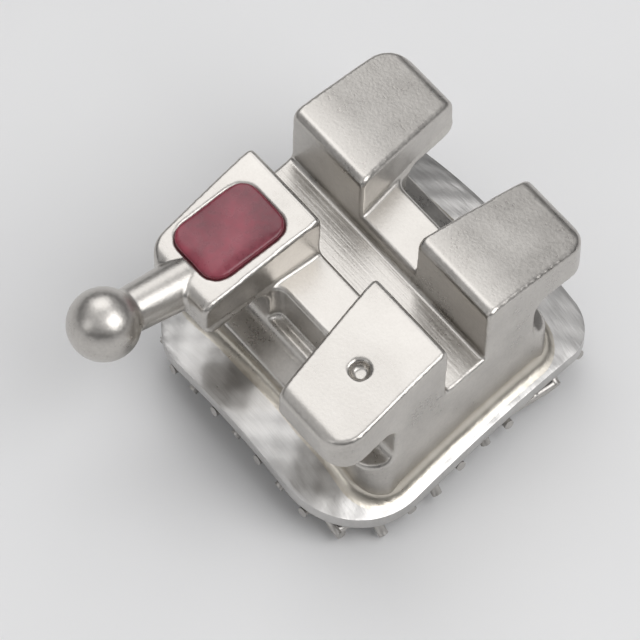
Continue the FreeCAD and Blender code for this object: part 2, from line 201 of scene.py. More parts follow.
class Bench:
    """The hand tools: primitives, edit-mode moves, solids cut by solids, and finishing."""

    @staticmethod
    def clear() -> None:
        """Leave edit mode and deselect everything."""
        if bpy.context.object and bpy.context.object.mode != "OBJECT":
            bpy.ops.object.mode_set(mode="OBJECT")
        bpy.ops.object.select_all(action="DESELECT")

    @staticmethod
    def pick(piece: bpy.types.Object) -> None:
        """Make one piece the only selected and active object."""
        Bench.clear()
        piece.select_set(True)
        bpy.context.view_layer.objects.active = piece

    @staticmethod
    def prism(name: str, loop: Sequence[Vector], sweep: Vector) -> bpy.types.Object:
        """A solid drawn as a filled loop and extruded.

        Args:
            name: Name of the piece.
            loop: The loop's points in millimetres.
            sweep: Direction and length of the extrusion.

        Returns:
            The new solid.
        """
        Bench.clear()
        bpy.ops.mesh.primitive_circle_add(vertices=len(loop), radius=1.0, fill_type="NGON")
        piece = bpy.context.object
        piece.name = name
        for vertex, place in zip(piece.data.vertices, loop):
            vertex.co = place
        bpy.ops.object.mode_set(mode="EDIT")
        bpy.ops.mesh.select_all(action="SELECT")
        bpy.ops.mesh.extrude_region_move(TRANSFORM_OT_translate={"value": sweep})
        bpy.ops.mesh.select_all(action="SELECT")
        bpy.ops.mesh.normals_make_consistent(inside=False)
        bpy.ops.object.mode_set(mode="OBJECT")
        return piece

    @staticmethod
    def side_prism(name: str, corners: Sequence[Corner], half: float) -> bpy.types.Object:
        """A solid with its outline in the side view and its length along the slot.

        Args:
            name: Name of the piece.
            corners: Place along Y, height and radius of each corner.
            half: Half length along X.

        Returns:
            The new solid.
        """
        loop = [Vector((-half, p.x, p.y)) for p in rounded(corners)]
        return Bench.prism(name, loop, Vector((2 * half, 0, 0)))

    @staticmethod
    def slab(name: str, curve: ToothCurve, above: float, below: float, reach: float,
             cuts: int) -> bpy.types.Object:
        """A solid sheet that follows the tooth's two curves.

        Args:
            name: Name of the piece.
            curve: The tooth's curves.
            above: Outer face, as a distance outwards from the pad's outer face.
            below: Inner face, the same way.
            reach: Half size of the sheet in plan.
            cuts: Squares along each side of the sheet.

        Returns:
            The new solid.
        """
        Bench.clear()
        bpy.ops.mesh.primitive_grid_add(x_subdivisions=cuts, y_subdivisions=cuts, size=2 * reach)
        piece = bpy.context.object
        piece.name = name
        for vertex in piece.data.vertices:
            vertex.co.z = curve.height(vertex.co.x, vertex.co.y, above)
        bpy.ops.object.mode_set(mode="EDIT")
        bpy.ops.mesh.select_all(action="SELECT")
        bpy.ops.mesh.extrude_region_move(TRANSFORM_OT_translate={"value": (0, 0, below - above)})
        bpy.ops.object.mode_set(mode="OBJECT")
        for vertex in piece.data.vertices:
            if vertex.select:
                vertex.co.z = curve.height(vertex.co.x, vertex.co.y, below)
        bpy.ops.object.mode_set(mode="EDIT")
        bpy.ops.mesh.select_all(action="SELECT")
        bpy.ops.mesh.normals_make_consistent(inside=False)
        bpy.ops.object.mode_set(mode="OBJECT")
        return piece

    @staticmethod
    def shape(piece: bpy.types.Object, tool: bpy.types.Object, operation: Operation) -> None:
        """Cut, keep or add one solid with another, and put the tool away.

        Args:
            piece: The solid that changes.
            tool: The solid that changes it.
            operation: What is done.
        """
        Bench.pick(piece)
        bpy.ops.object.modifier_add(type="BOOLEAN")
        change = piece.modifiers[-1]
        change.operation = operation.value
        change.solver = "EXACT"
        change.object = tool
        bpy.ops.object.modifier_apply(modifier=change.name)
        bpy.data.objects.remove(tool)

    @staticmethod
    def modify(piece: bpy.types.Object, kind: str, **settings: object) -> None:
        """Add one modifier with the given settings and apply it.

        Args:
            piece: The piece to change.
            kind: The modifier's type.
            settings: Its settings by name.
        """
        Bench.pick(piece)
        bpy.ops.object.modifier_add(type=kind)
        modifier = piece.modifiers[-1]
        for name, value in settings.items():
            setattr(modifier, name, value)
        bpy.ops.object.modifier_apply(modifier=modifier.name)

    @staticmethod
    def smooth(piece: bpy.types.Object, passes: int, group: str = "") -> None:
        """Smooth a piece, all over or where its vertex group says.

        Args:
            piece: The piece to smooth.
            passes: How many times.
            group: The vertex group, or nothing for the whole piece.
        """
        Bench.modify(piece, "SMOOTH", factor=SMOOTHING, iterations=passes, vertex_group=group)

    @staticmethod
    def refit(piece: bpy.types.Object, original: bpy.types.Mesh, near: float, far: float,
              passes: tuple[int, int]) -> None:
        """Lay the flats of a softened solid back on the solid it came from, and even out its soft edges.

        Args:
            piece: The softened solid.
            original: The mesh it came from.
            near: Points closer to the original than this go all the way back.
            far: Points farther off than this stay where they are.
            passes: Smoothing passes along the edges, and then all over.
        """
        tree = BVHTree.FromPolygons([v.co for v in original.vertices], [p.vertices for p in original.polygons])
        edges = piece.vertex_groups.new(name="soft_edges")
        for vertex in piece.data.vertices:
            spot, _, _, gap = tree.find_nearest(vertex.co)
            share = min(1.0, max(0.0, (far - gap) / (far - near)))
            vertex.co = vertex.co.lerp(spot, share)
            if share < 1.0:
                edges.add([vertex.index], 1.0 - share, "REPLACE")
        Bench.smooth(piece, passes[0], edges.name)
        piece.vertex_groups.clear()
        Bench.smooth(piece, passes[1])

    @staticmethod
    def settle(piece: bpy.types.Object, smooth_angle: float = math.pi) -> bpy.types.Object:
        """Bring a finished piece from millimetres to metres, its object at the origin, and shade it smooth.

        Args:
            piece: The finished piece.
            smooth_angle: Edges sharper than this stay sharp.

        Returns:
            The same piece.
        """
        Bench.pick(piece)
        bpy.ops.object.transform_apply(location=True, rotation=True, scale=True)
        piece.data.transform(Matrix.Scale(MM, 4))
        bpy.ops.object.shade_smooth_by_angle(angle=smooth_angle)
        return piece


class Finish:
    """A procedural material, built from nodes that read the piece's own place in millimetres."""

    def __init__(self, name: str) -> None:
        """Start an empty material with its surface shader.

        Args:
            name: The material's name.
        """
        self.material = bpy.data.materials.new(name)
        self.material.use_nodes = True
        self.tree = self.material.node_tree
        self.shader = self.tree.nodes["Principled BSDF"]
        place = self.tree.nodes.new("ShaderNodeTexCoord")
        scaled = self.tree.nodes.new("ShaderNodeVectorMath")
        scaled.operation = "SCALE"
        scaled.inputs["Scale"].default_value = 1.0 / MM
        self.tree.links.new(place.outputs["Object"], scaled.inputs[0])
        self.place = scaled.outputs[0]

    def link(self, source: bpy.types.NodeSocket, target: bpy.types.NodeSocket) -> None:
        """Join two sockets."""
        self.tree.links.new(source, target)

    def noise(self, scale: float, detail: float = 4.0, roughness: float = 0.5,
              stretch: Optional[Vector] = None) -> bpy.types.NodeSocket:
        """Noise over the piece.

        Args:
            scale: Features in each millimetre.
            detail: Octaves of finer noise.
            roughness: Strength of the finer octaves.
            stretch: Scale along each axis, for brushed marks.

        Returns:
            The noise value, from 0 to 1.
        """
        node = self.tree.nodes.new("ShaderNodeTexNoise")
        node.inputs["Scale"].default_value = scale
        node.inputs["Detail"].default_value = detail
        node.inputs["Roughness"].default_value = roughness
        place = self.place
        if stretch is not None:
            mapping = self.tree.nodes.new("ShaderNodeMapping")
            mapping.inputs["Scale"].default_value = stretch
            self.link(self.place, mapping.inputs["Vector"])
            place = mapping.outputs["Vector"]
        self.link(place, node.inputs["Vector"])
        return node.outputs["Fac"]

    def pits(self, scale: float) -> bpy.types.NodeSocket:
        """Distance from scattered points, for the small pores of a sintered surface."""
        node = self.tree.nodes.new("ShaderNodeTexVoronoi")
        node.inputs["Scale"].default_value = scale
        self.link(self.place, node.inputs["Vector"])
        return node.outputs["Distance"]

    def span(self, source: bpy.types.NodeSocket, low: float, high: float, to_low: float,
             to_high: float) -> bpy.types.NodeSocket:
        """Map one range of values to another, clamped."""
        node = self.tree.nodes.new("ShaderNodeMapRange")
        for name, value in (("From Min", low), ("From Max", high), ("To Min", to_low), ("To Max", to_high)):
            node.inputs[name].default_value = value
        self.link(source, node.inputs["Value"])
        return node.outputs["Result"]

    def blend(self, amount: bpy.types.NodeSocket, first: object, second: object) -> bpy.types.NodeSocket:
        """Blend two colours, each a socket or a plain colour, by an amount."""
        node = self.tree.nodes.new("ShaderNodeMix")
        node.data_type = "RGBA"
        self.link(amount, node.inputs["Factor"])
        for name, colour in (("A", first), ("B", second)):
            socket = [item for item in node.inputs if item.name == name and item.type == "RGBA"][0]
            if isinstance(colour, bpy.types.NodeSocket):
                self.link(colour, socket)
            else:
                socket.default_value = (*colour, 1.0)
        return [item for item in node.outputs if item.type == "RGBA"][0]

    def sum(self, first: bpy.types.NodeSocket, second: bpy.types.NodeSocket,
            share: float) -> bpy.types.NodeSocket:
        """The first value plus a share of the second."""
        node = self.tree.nodes.new("ShaderNodeMath")
        node.operation = "MULTIPLY_ADD"
        node.inputs[1].default_value = share
        self.link(second, node.inputs[0])
        self.link(first, node.inputs[2])
        return node.outputs["Value"]

    def math(self, operation: str, first: bpy.types.NodeSocket, second: object) -> bpy.types.NodeSocket:
        """One sum on a value, with a second value that is a socket or a plain number."""
        node = self.tree.nodes.new("ShaderNodeMath")
        node.operation = operation
        self.link(first, node.inputs[0])
        if isinstance(second, bpy.types.NodeSocket):
            self.link(second, node.inputs[1])
        else:
            node.inputs[1].default_value = second
        return node.outputs["Value"]

    def axes(self) -> list[bpy.types.NodeSocket]:
        """The place along X, Y and Z, in millimetres."""
        node = self.tree.nodes.new("ShaderNodeSeparateXYZ")
        self.link(self.place, node.inputs[0])
        return list(node.outputs)

    def imprint(self, pitch: float) -> bpy.types.NodeSocket:
        """Faint print of the weave through a thin foil, one bump for each crossing."""
        waves = []
        for axis in self.axes()[:2]:
            turns = self.math("MULTIPLY", axis, math.tau / pitch)
            waves.append(self.math("COSINE", turns, 0.0))
        return self.span(self.math("MULTIPLY", waves[0], waves[1]), -1.0, 1.0, 0.0, 1.0)

    def slot_lines(self, half_width: float, half_length: float) -> bpy.types.NodeSocket:
        """Cutter lines along X on what lies inside the archwire slot, and nothing elsewhere."""
        drawn_out = Vector((0.12, 5.0, 5.0))
        lines = self.noise(6.0, 3.0, 0.6, drawn_out)
        along, across, _ = self.axes()
        for axis, limit in ((across, half_width), (along, half_length)):
            inside = self.math("LESS_THAN", self.math("ABSOLUTE", axis, 0.0), limit)
            lines = self.math("MULTIPLY", lines, inside)
        return lines

    def mark(self, mark: Mark) -> bpy.types.NodeSocket:
        """Pattern of a mark.

        Args:
            mark: The mark, which isn't NONE.

        Returns:
            The pattern's value.
        """
        if mark is Mark.CUTTER_LINES:
            return self.slot_lines(half_width=0.33, half_length=1.5)
        return self.imprint(pitch=0.36)

    def relief(self, height: bpy.types.NodeSocket, depth: float) -> None:
        """Raise fine relief on the surface.

        Args:
            height: The relief's pattern.
            depth: Its depth in millimetres.
        """
        node = self.tree.nodes.new("ShaderNodeBump")
        node.inputs["Strength"].default_value = 1.0
        node.inputs["Distance"].default_value = depth * MM
        self.link(height, node.inputs["Height"])
        self.link(node.outputs["Normal"], self.shader.inputs["Normal"])


@dataclass(frozen=True)
class SteelFinish:
    """Steel as it leaves the maker: its colours, how polished it is, and the relief left on it."""

    name: str
    bright: Colour
    dull: Colour
    smooth: float
    rough: float
    grain: float
    grain_depth: float
    stretch: Optional[tuple[float, float, float]] = None
    mark: Mark = Mark.NONE
    mark_share: float = 0.0
    cloud_scale: float = 1.6
    pore_scale: float = 1.4
    pore_reach: float = 0.28
    pore_share: float = 0.12
    grain_in_colour: float = 0.35
    grain_in_gloss: float = 0.5
    colour_range: tuple[float, float] = (0.42, 0.95)
    gloss_range: tuple[float, float] = (0.45, 1.05)

    def build(self) -> bpy.types.Material:
        """Build the material.

        Returns:
            The material, ready for a piece.
        """
        finish = Finish(self.name)
        stretch = None if self.stretch is None else Vector(self.stretch)
        clouds = finish.noise(self.cloud_scale, 5.0, 0.55)
        grain = finish.noise(self.grain, 3.0, 0.55, stretch)
        pits = finish.span(finish.pits(self.grain * self.pore_scale), 0.0, self.pore_reach, 0.0, 1.0)
        mottled = finish.span(finish.sum(clouds, grain, self.grain_in_colour), *self.colour_range, 0.0, 1.0)
        colour = finish.blend(mottled, self.dull, self.bright)
        finish.link(colour, finish.shader.inputs["Base Color"])
        uneven = finish.sum(clouds, grain, self.grain_in_gloss)
        gloss = finish.span(uneven, *self.gloss_range, self.smooth, self.rough)
        finish.link(gloss, finish.shader.inputs["Roughness"])
        finish.shader.inputs["Metallic"].default_value = 1.0
        relief = finish.sum(grain, pits, self.pore_share)
        if self.mark is not Mark.NONE:
            relief = finish.sum(relief, finish.mark(self.mark), self.mark_share)
        finish.relief(relief, self.grain_depth)
        return finish.material


@dataclass(frozen=True)
class PaintFinish:
    """Dark red lacquer, a little uneven where the brush left it."""

    name: str = "red_lacquer"
    deep: Colour = (0.15, 0.015, 0.030)
    thin: Colour = (0.33, 0.050, 0.080)
    cloud_scale: float = 2.4
    fine_scale: float = 14.0
    fine_share: float = 0.3
    wave_depth: float = 0.012

    def build(self) -> bpy.types.Material:
        """Build the material.

        Returns:
            The material, ready for a piece.
        """
        finish = Finish(self.name)
        clouds = finish.noise(self.cloud_scale)
        fine = finish.noise(self.fine_scale)
        brushed = finish.span(finish.sum(clouds, fine, self.fine_share), 0.45, 0.85, 0.0, 1.0)
        finish.link(finish.blend(brushed, self.deep, self.thin), finish.shader.inputs["Base Color"])
        finish.link(finish.span(fine, 0.3, 0.7, 0.22, 0.4), finish.shader.inputs["Roughness"])
        finish.shader.inputs["Coat Weight"].default_value = 0.35
        finish.shader.inputs["Coat Roughness"].default_value = 0.12
        finish.relief(clouds, self.wave_depth)
        return finish.material


MOULDED = SteelFinish("moulded_steel", (0.68, 0.655, 0.62), (0.44, 0.42, 0.395), 0.22, 0.42, 30.0, 0.0015,
                      mark=Mark.CUTTER_LINES, mark_share=2.0)
FOIL = SteelFinish("foil_steel", (0.66, 0.65, 0.635), (0.47, 0.46, 0.45), 0.26, 0.42, 11.0, 0.003,
                   (0.25, 2.0, 1.0), mark=Mark.WEAVE_PRINT, mark_share=1.6)
WIRE = SteelFinish("mesh_wire", (0.64, 0.62, 0.595), (0.4, 0.385, 0.365), 0.3, 0.5, 18.0, 0.003)
BRAZE = SteelFinish("braze_filler", (0.72, 0.68, 0.61), (0.54, 0.50, 0.43), 0.22, 0.4, 9.0, 0.004)


@dataclass
class Piece:
    """A visible piece: what it stands for in the frame, its slot and its finish."""

    name: str
    node: str
    slot: str
    finish: Union[SteelFinish, PaintFinish]
    curve: ToothCurve = field(default_factory=ToothCurve)
    plan: Plan = field(default_factory=Plan)

    def model(self) -> bpy.types.Object:
        """Model the piece in metres; each kind of piece does this its own way."""
        raise NotImplementedError

    def place(self) -> bpy.types.Object:
        """Model the piece, dress it, and let it ride in the frame.

        Returns:
            The finished piece.
        """
        piece = self.model()
        piece.name = self.name
        piece.data.materials.clear()
        piece.data.materials.append(self.finish.build())
        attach(piece, "root")
        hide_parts(self.node)
        LOG.info("%s: %d faces", self.name, len(piece.data.polygons))
        return piece


@dataclass
class BracketBody(Piece):
    """The moulded body: wings, slot, channel, waist, foot and ball hook."""

    slot_width: float = 0.5588
    slot_depth: float = 0.7112
    slot_chamfer: float = 0.05
    slot_flare: float = 0.3
    slot_torque: float = math.radians(2.0)
    wing_span: float = 3.10
    wing_reach: float = 1.75
    wing_corner: float = 0.3
    crown_rise: float = 0.08
    crown_radius: float = 5.0
    tip_top: float = 0.50
    tip_bottom: float = 0.06
    tip_radius: float = 0.17
    waist_reach: float = 0.98
    waist_top: float = 0.17
    waist_bottom: float = -0.34
    waist_radius: float = 0.16
    foot_reach: float = 1.28
    foot_top: float = -0.48
    foot_edge: float = 0.05
    foot_corner: float = 0.32
    foot_depth: float = 0.6
    blank_stock: float = 0.02
    channel_width: float = 0.78
    channel_mouth: float = 1.16
    channel_floor: float = 0.18
    channel_corner: float = 0.12
    channel_overrun: float = 0.4
    notch_step: float = 0.03
    notch_start: float = 0.84
    notch_floor: float = -0.28
    hook_x: float = 0.86
    hook_root: float = 1.36
    hook_height: float = 0.27
    hook_rise: float = math.radians(8.0)
    hook_length: float = 1.22
    hook_root_radius: float = 0.27
    hook_neck_radius: float = 0.22
    ball_radius: float = 0.37
    mark_centre: float = 1.02
    mark_width: float = 0.76
    mark_length: float = 0.98
    mark_corner: float = 0.2
    mark_depth: float = 0.05
    pit_radius: float = 0.1
    pit_depth: float = 0.09
    cutter_low: float = -2.0
    cutter_height: float = 4.0
    trimmer_half: float = 3.0
    core_drop: float = 0.5
    seat_reach: float = 2.4
    seat_depth: float = 1.2
    seat_squares: int = 60
    voxel: float = 0.014
    softness: int = 38
    edge_passes: tuple[int, int] = (40, 4)
    flat_gap: float = 0.0028
    edge_gap: float = 0.0106
    faces_kept: float = 0.34

    @property
    def slope(self) -> float:
        """Fall of a wing's top face towards its tip, in radians."""
        fall = self.slot_depth + self.crown_rise - self.tip_top
        return math.atan(fall / (self.wing_reach + self.blank_stock))

    def wing_middle(self, side: int, along: float) -> float:
        """Middle of a gum-side wing in plan at a place along Y."""
        flare = (self.channel_mouth - self.channel_width) / 2 * along / self.wing_reach
        inner = self.channel_width / 2 + flare
        return (self.wing_span / 2 + inner) / 2 * side + self.plan.lean(along)

    def face_matrix(self, along: float) -> Matrix:
        """Place of a flat patch on the gum-side wings' top face."""
        height = self.slot_depth + self.crown_rise - along * math.tan(self.slope)
        return Matrix.Translation((0, along, height)) @ Matrix.Rotation(-self.slope, 4, "X")

    def section(self) -> list[Corner]:
        """Side view of the body, before it is seated on the pad."""
        tip = self.wing_reach + self.blank_stock
        foot = self.foot_reach + self.blank_stock
        half = [
            (tip, self.tip_top, self.tip_radius),
            (tip, self.tip_bottom, self.tip_radius),
            (self.waist_reach, self.waist_top, self.waist_radius),
            (self.waist_reach, self.waist_bottom, self.waist_radius),
            (foot, self.foot_top, self.foot_edge),
            (foot, self.curve.seat_height - self.foot_depth, 0.0),
        ]
        crown = (0.0, self.slot_depth + self.crown_rise, self.crown_radius)
        return [crown] + half + [(-y, z, radius) for y, z, radius in reversed(half)]

    def trim_plan(self, piece: bpy.types.Object) -> None:
        """Round the corners of the wings and of the foot in plan."""
        wings = self.plan.rhomboid(self.wing_span / 2, self.wing_reach, self.wing_corner, self.wing_corner)
        bottom = Vector((0, 0, self.cutter_low))
        through = Vector((0, 0, self.cutter_height))
        outline = Bench.prism("wing_plan", [p + bottom for p in wings], through)
        Bench.shape(piece, outline, Operation.KEEP)
        foot_half = self.wing_span / 2 + self.blank_stock
        inner = self.plan.rhomboid(foot_half, self.foot_reach, self.foot_corner, self.foot_corner)
        waist = (self.waist_top + self.waist_bottom) / 2
        square = ((-1, -1), (1, -1), (1, 1), (-1, 1))
        outer = [Vector((x * self.trimmer_half, y * self.trimmer_half, self.cutter_low)) for x, y in square]
        trimmer = Bench.prism("foot_trimmer", outer, Vector((0, 0, waist - self.cutter_low)))
        drop = bottom - Vector((0, 0, self.core_drop))
        core = Bench.prism("foot_core", [p + drop for p in inner], through)
        Bench.shape(trimmer, core, Operation.CUT)
        Bench.shape(piece, trimmer, Operation.CUT)

    def cut_slot(self, piece: bpy.types.Object) -> None:
        """Mill the archwire slot, with broken edges at its mouth."""
        wall = self.slot_width / 2
        lip = self.slot_depth - self.slot_chamfer
        flare = self.slot_flare
        corners = [(-wall, 0, 0), (wall, 0, 0), (wall, lip, 0), (wall + flare, lip + flare, 0),
                   (-wall - flare, lip + flare, 0), (-wall, lip, 0)]
        tool = Bench.side_prism("slot_cutter", corners, self.wing_span)
        tool.data.transform(Matrix.Rotation(self.slot_torque, 4, "X"))
        Bench.shape(piece, tool, Operation.CUT)

    def cut_channel(self, piece: bpy.types.Object) -> None:
        """Open the vertical channel between the wing pairs, deeper past the waist."""
        through = Vector((0, 0, self.cutter_height / 2))
        far = self.wing_reach + self.channel_overrun
        narrow = self.channel_width / 2
        flare = (self.channel_mouth - self.channel_width) / 2 / self.wing_reach
        wide = narrow + flare * far
        spots = ((wide, -far), (narrow, 0), (wide, far), (-wide, far), (-narrow, 0), (-wide, -far))
        loop = rounded([(x + self.plan.lean(y), y, 0.0) for x, y in spots])
        loop = [p + Vector((0, 0, self.channel_floor)) for p in loop]
        Bench.shape(piece, Bench.prism("channel_cutter", loop, through), Operation.CUT)
        near = narrow + flare * self.notch_start - self.notch_step
        end = wide - self.notch_step
        for side in (1, -1):
            start = self.notch_start * side
            spots = ((near, start, self.channel_corner), (end, far * side, 0.0),
                     (-end, far * side, 0.0), (-near, start, self.channel_corner))
            loop = rounded([(x + self.plan.lean(y), y, radius) for x, y, radius in spots])
            loop = [p + Vector((0, 0, self.notch_floor)) for p in loop]
            Bench.shape(piece, Bench.prism("notch_cutter", loop, through), Operation.CUT)

    def add_hook(self, piece: bpy.types.Object) -> None:
        """Add the tapered neck and its ball, in one with the wing."""
        turn = Matrix.Rotation(-(math.pi / 2 - self.hook_rise), 4, "X")
        place = Matrix.Translation((self.hook_x, self.hook_root, self.hook_height)) @ turn
        Bench.clear()
        bpy.ops.mesh.primitive_cone_add(vertices=64, radius1=self.hook_root_radius,
                                        radius2=self.hook_neck_radius, depth=self.hook_length,
                                        location=(0, 0, self.hook_length / 2))
        neck = bpy.context.object
        bpy.ops.object.transform_apply()
        neck.data.transform(place)
        Bench.shape(piece, neck, Operation.ADD)
        Bench.clear()
        bpy.ops.mesh.primitive_uv_sphere_add(segments=72, ring_count=36, radius=self.ball_radius,
                                             location=(0, 0, self.hook_length))
        ball = bpy.context.object
        bpy.ops.object.transform_apply()
        ball.data.transform(place)
        Bench.shape(piece, ball, Operation.ADD)

    def mark_loop(self) -> list[Vector]:
        """Outline of the paint's recess, flat, with its floor at height zero less the recess's depth."""
        middle = self.wing_middle(1, self.mark_centre)
        half_x = self.mark_width / 2
        half_y = self.mark_length / 2
        loop = rounded([(middle + half_x * a, half_y * b, self.mark_corner)
                        for a, b in ((-1, -1), (1, -1), (1, 1), (-1, 1))])
        return [p - Vector((0, 0, self.mark_depth)) for p in loop]

    def sink_marks(self, piece: bpy.types.Object) -> None:
        """Sink the recess for the paint in one gum-side wing and the small pit in the other."""
        face = self.face_matrix(self.mark_centre)
        recess = Bench.prism("recess_cutter", self.mark_loop(), Vector((0, 0, self.cutter_height)))
        recess.data.transform(face)
        Bench.shape(piece, recess, Operation.CUT)
        Bench.clear()
        tall = self.cutter_height / 2
        bpy.ops.mesh.primitive_cylinder_add(vertices=40, radius=self.pit_radius, depth=tall)
        pit = bpy.context.object
        middle = Vector((self.wing_middle(-1, self.mark_centre), 0, tall / 2 - self.pit_depth))
        pit.data.transform(face @ Matrix.Translation(middle))
        Bench.shape(piece, pit, Operation.CUT)

    def soften(self, piece: bpy.types.Object) -> None:
        """Give the moulding its fine, soft edges, as sintering and tumbling leave them."""
        original = piece.data.copy()
        Bench.modify(piece, "REMESH", mode="VOXEL", voxel_size=self.voxel)
        Bench.smooth(piece, self.softness)
        Bench.refit(piece, original, self.flat_gap, self.edge_gap, self.edge_passes)
        Bench.modify(piece, "DECIMATE", ratio=self.faces_kept)

    def model(self) -> bpy.types.Object:
        """Model the body: extruded section, trimmed plan, slot, channel, hook, marks and seat.

        Returns:
            The finished body in metres.
        """
        piece = Bench.side_prism(self.name, self.section(), self.wing_span)
        self.trim_plan(piece)
        self.cut_channel(piece)
        self.cut_slot(piece)
        self.add_hook(piece)
        self.sink_marks(piece)
        seat = Bench.slab("seat_cutter", self.curve, 0.0, -self.seat_depth, self.seat_reach, self.seat_squares)
        Bench.shape(piece, seat, Operation.CUT)
        self.soften(piece)
        return Bench.settle(piece)


@dataclass
class BasePad(Piece):
    """The foil pad, bent round the tooth's curves and cut to a rhomboid."""

    width: float = 3.44
    length: float = 3.60
    thickness: float = 0.13
    corner: float = 0.45
    gum_corner: float = 0.85
    edge: float = 0.025
    blank_reach: float = 2.4
    blank_squares: int = 72
    cutter_low: float = -3.0
    cutter_height: float = 4.0

    def model(self) -> bpy.types.Object:
        """Model the pad as a curved sheet kept inside its outline, with broken edges.

        Returns:
            The finished pad in metres.
        """
        piece = Bench.slab(self.name, self.curve, 0.0, -self.thickness, self.blank_reach, self.blank_squares)
        loop = self.plan.rhomboid(self.width / 2, self.length / 2, self.gum_corner, self.corner)
        loop = [p + Vector((0, 0, self.cutter_low)) for p in loop]
        outline = Bench.prism("pad_plan", loop, Vector((0, 0, self.cutter_height)))
        Bench.shape(piece, outline, Operation.KEEP)
        Bench.modify(piece, "BEVEL", width=self.edge, segments=3, limit_method="ANGLE",
                     angle_limit=math.radians(50))
        return Bench.settle(piece, math.radians(40))


@dataclass
class BondingMesh(Piece):
    """Plain weave of round wires, bonded to the underside of the foil."""

    width: float = 3.44
    length: float = 3.60
    corner: float = 0.45
    gum_corner: float = 0.85
    pad_thickness: float = 0.13
    pitch: float = 0.36
    count: int = 10
    wire_radius: float = 0.054
    warp_swing: float = 0.076
    weft_swing: float = 0.028
    steps: int = 8
    overhang: float = 1.5
    cut_halvings: int = 12
    shortest: int = 4

    @staticmethod
    def inside(place: Vector, loop: Sequence[Vector]) -> bool:
        """Whether a place lies inside a convex loop in plan."""
        for a, b in zip(loop, [*loop[1:], loop[0]]):
            if (b.x - a.x) * (place.y - a.y) - (b.y - a.y) * (place.x - a.x) < 0:
                return False
        return True

    def wire_line(self, family: Family, index: int) -> list[Vector]:
        """Centre line of one wire, over and under the wires it crosses.

        Args:
            family: Warp runs along X, weft along Y.
            index: Place of the wire in its family.

        Returns:
            Points along the wire in millimetres.
        """
        middle = (self.count - 1) / 2
        deep = self.pad_thickness + self.warp_swing + self.wire_radius
        swing = -self.warp_swing if family is Family.WARP else self.weft_swing
        step_across = self.pitch / (self.curve.radius_across - self.pad_thickness)
        step_along = self.pitch / (self.curve.radius_along - self.pad_thickness)
        line = []
        span = int((middle + self.overhang) * self.steps)
        for k in range(-span, span + 1):
            run = k / self.steps
            wave = math.cos(math.pi * (run + middle + index)) * swing
            turns = (run * step_across, (index - middle) * step_along)
            if family is Family.WEFT:
                turns = ((index - middle) * step_across, run * step_along)
            line.append(self.curve.point(*turns, -(deep + wave)))
        return line

    def clip(self, line: Sequence[Vector], loop: Sequence[Vector]) -> list[Vector]:
        """The stretch of a wire that lies inside the outline, cut off right at it.

        Args:
            line: The wire's centre line.
            loop: The outline.

        Returns:
            The kept points, with a new one at each cut.
        """
        kept = []
        for a, b in zip(line, line[1:]):
            a_in = self.inside(a, loop)
            b_in = self.inside(b, loop)
            if a_in:
                kept.append(a)
            if a_in != b_in:
                low, high = (a, b) if a_in else (b, a)
                for _ in range(self.cut_halvings):
                    middle = low.lerp(high, 0.5)
                    low, high = (middle, high) if self.inside(middle, loop) else (low, middle)
                kept.append(low)
        return kept

    def wire(self, family: Family, index: int, loop: Sequence[Vector]) -> Optional[bpy.types.Object]:
        """Bend one wire and cut it off at the pad's outline.

        Args:
            family: Warp or weft.
            index: Place of the wire in its family.
            loop: The pad's outline.

        Returns:
            The wire, or None where it would be too short to keep.
        """
        kept = self.clip(self.wire_line(family, index), loop)
        if len(kept) < self.shortest:
            return None
        data = bpy.data.curves.new("wire", "CURVE")
        data.dimensions = "3D"
        data.bevel_depth = self.wire_radius
        data.bevel_resolution = 3
        data.use_fill_caps = True
        spline = data.splines.new("POLY")
        spline.points.add(len(kept) - 1)
        for point, place in zip(spline.points, kept):
            point.co = (*place, 1.0)
        piece = bpy.data.objects.new("wire", data)
        bpy.context.scene.collection.objects.link(piece)
        Bench.pick(piece)
        bpy.ops.object.convert(target="MESH")
        return bpy.context.object

    def model(self) -> bpy.types.Object:
        """Weave the mesh wire by wire and join it.

        Returns:
            The finished mesh in metres.
        """
        inset = self.wire_radius / 4
        loop = self.plan.rhomboid(self.width / 2 - inset, self.length / 2 - inset, self.gum_corner, self.corner)
        woven = [self.wire(family, index, loop) for family in Family for index in range(self.count)]
        wires = [wire for wire in woven if wire is not None]
        Bench.clear()
        for wire in wires:
            wire.select_set(True)
        bpy.context.view_layer.objects.active = wires[0]
        bpy.ops.object.join()
        return Bench.settle(wires[0], math.radians(50))


